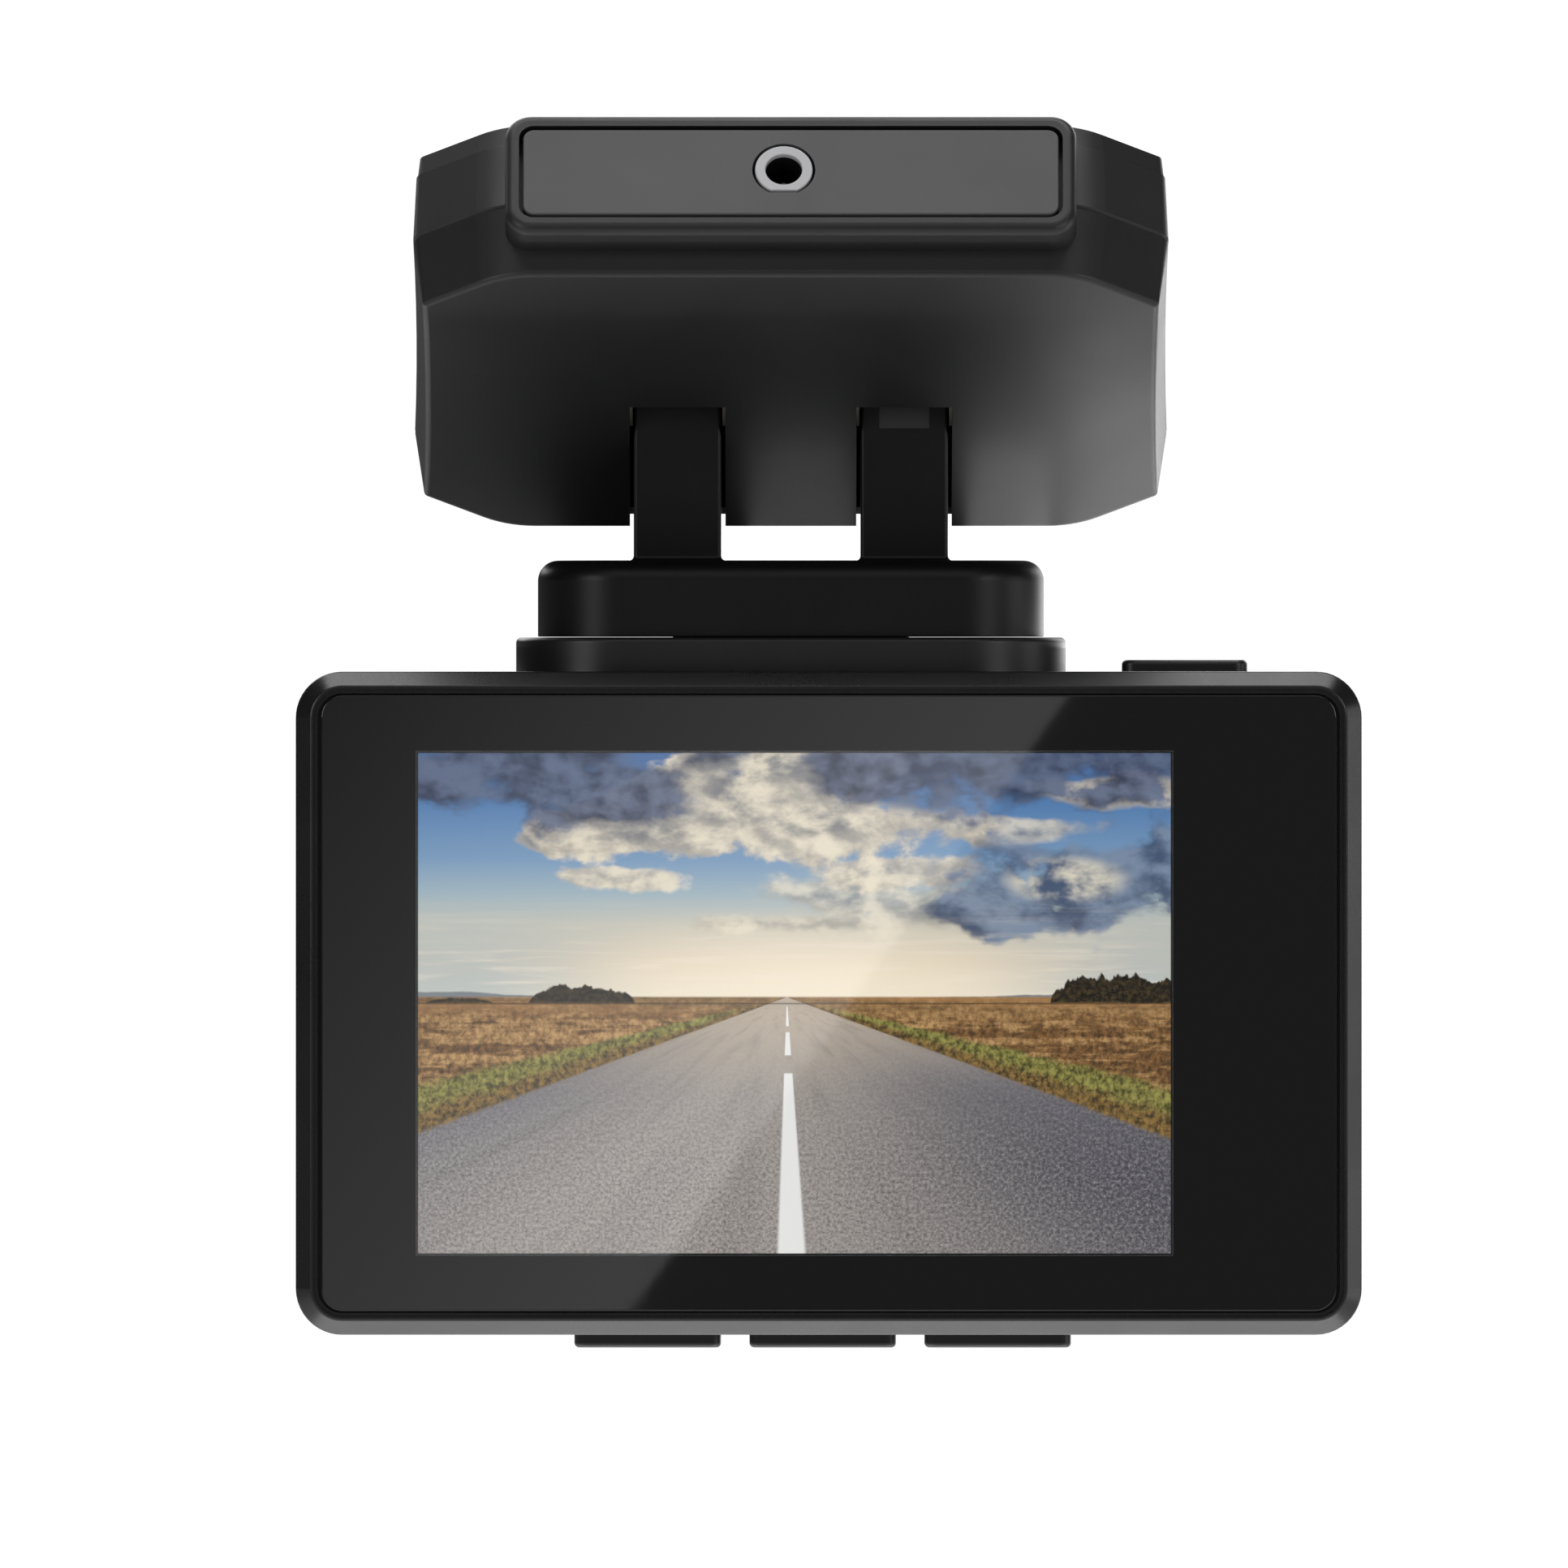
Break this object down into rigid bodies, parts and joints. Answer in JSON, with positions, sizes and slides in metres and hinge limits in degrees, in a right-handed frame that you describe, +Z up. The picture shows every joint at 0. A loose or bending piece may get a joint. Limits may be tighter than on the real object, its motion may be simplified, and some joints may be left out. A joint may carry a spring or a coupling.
{
  "type": "radar detector",
  "caption": "Windscreen radar detector and dash camera with a rear screen: a slim box docked by magnets under a tilting two-arm bracket on a stick-on head with a power socket.",
  "frame": {"origin": "centre of the adhesive pad's outer face, which lies on the windscreen", "axes": "+Z up with the unit hanging upright, +Y forwards towards the road, +X to the driver's right; the windscreen slopes at 35 degrees"},
  "size_m": [0.09, 0.0467, 0.1039],
  "materials": {
    "foam_tape": "matt acrylic foam",
    "black_plastic": "satin",
    "head_plastic": "fine spark texture",
    "panel_plastic": "fine spark texture",
    "light_plastic": "satin",
    "nickel": "plated",
    "circuit_board": "solder mask",
    "ceramic": "fired",
    "shield_can": "tinned",
    "screw_steel": "black zinc",
    "pin_steel": "ground",
    "nylon": "natural",
    "bracket_plastic": "fine spark texture",
    "shoe_plastic": "satin",
    "flex_film": "polyimide film",
    "magnet_nickel": "nickel plated",
    "gold": "gold flash",
    "case_plastic": "fine spark texture",
    "frame_plastic": "satin",
    "cover_glass": "polished, printed border",
    "screen": "lit picture",
    "chip_plastic": "moulded",
    "heatsink_aluminium": "extruded",
    "capacitor_sleeve": "shrink sleeve",
    "cast_metal": "as cast",
    "usb_steel": "drawn",
    "card_plastic": "satin",
    "ring_anodised": "satin black",
    "barrel_anodised": "matt black",
    "lens_glass": "coated",
    "window_plastic": "polished",
    "laser_plastic": "polished, infrared-clear",
    "key_plastic": "satin"
  },
  "bodies": {
    "head": {"adhesive_pad": "foam_tape", "head_backplate": "black_plastic", "head_upper_housing": "head_plastic", "head_lower_housing": "head_plastic", "socket_frame": "head_plastic", "socket_panel": "panel_plastic", "dc_socket_flange": "light_plastic", "dc_socket_body": "black_plastic", "dc_socket_pin": "nickel", "head_board": "circuit_board", "gps_antenna": "ceramic", "gps_receiver": "shield_can", "head_screws": "screw_steel", "hinge_pin": "pin_steel", "hinge_clips": "pin_steel", "hinge_washers": "nylon"},
    "bracket": {"bracket_arms": "bracket_plastic", "friction_shoe": "shoe_plastic", "arm_flex": "flex_film", "bracket_cover": "bracket_plastic", "bracket_screws": "screw_steel", "bracket_magnets": "magnet_nickel", "bracket_board": "circuit_board", "pogo_block": "black_plastic", "pogo_pins": "gold"},
    "unit": {"dock_plinth": "case_plastic", "dock_magnets": "magnet_nickel", "dock_contacts": "gold", "dock_board": "circuit_board", "rear_frame": "frame_plastic", "rear_glass": "cover_glass", "glass_tape": "foam_tape", "display_cell": "screen", "display_backlight": "shield_can", "front_shell": "case_plastic", "case_screws": "screw_steel", "main_board": "circuit_board", "board_spacers": "gold", "board_chips": "chip_plastic", "processor_heatsink": "heatsink_aluminium", "supercapacitors": "capacitor_sleeve", "horn_antenna": "cast_metal", "radar_board": "circuit_board", "laser_receiver": "black_plastic", "speaker": "black_plastic", "key_switches": "black_plastic", "usb_socket": "usb_steel", "rear_camera_socket": "black_plastic", "card_socket": "shield_can", "lens_ring": "ring_anodised", "lens_barrel": "barrel_anodised", "lens_glass": "lens_glass", "sensor_board": "circuit_board", "front_window": "window_plastic", "laser_lens": "laser_plastic"},
    "power_button": {"power_button": "key_plastic"},
    "button_left": {"button_left": "key_plastic"},
    "button_middle": {"button_middle": "key_plastic"},
    "button_right": {"button_right": "key_plastic"},
    "memory_card": {"memory_card": "card_plastic"}
  },
  "joints": [
    {"name": "mount_tilt", "type": "hinge", "parent": "head", "child": "bracket", "pos_m": [0, -0.0018, -0.01217], "axis": [1, 0, 0], "range_deg": [-35, 20]},
    {"name": "unit_release", "type": "slide", "parent": "bracket", "child": "unit", "axis": [0, 0, -1], "range_m": [0, 0.03]},
    {"name": "power_press", "type": "slide", "parent": "unit", "child": "power_button", "axis": [0, 0, -1], "range_m": [0, 0.0005], "stiffness_N_per_m": 1500, "springref_m": -0.0004},
    {"name": "left_press", "type": "slide", "parent": "unit", "child": "button_left", "axis": [0, 0, 1], "range_m": [0, 0.0005], "stiffness_N_per_m": 1500, "springref_m": -0.0004},
    {"name": "middle_press", "type": "slide", "parent": "unit", "child": "button_middle", "axis": [0, 0, 1], "range_m": [0, 0.0005], "stiffness_N_per_m": 1500, "springref_m": -0.0004},
    {"name": "right_press", "type": "slide", "parent": "unit", "child": "button_right", "axis": [0, 0, 1], "range_m": [0, 0.0005], "stiffness_N_per_m": 1500, "springref_m": -0.0004},
    {"name": "card_slide", "type": "slide", "parent": "unit", "child": "memory_card", "axis": [-1, 0, 0], "range_m": [-0.0006, 0.013]}
  ]
}
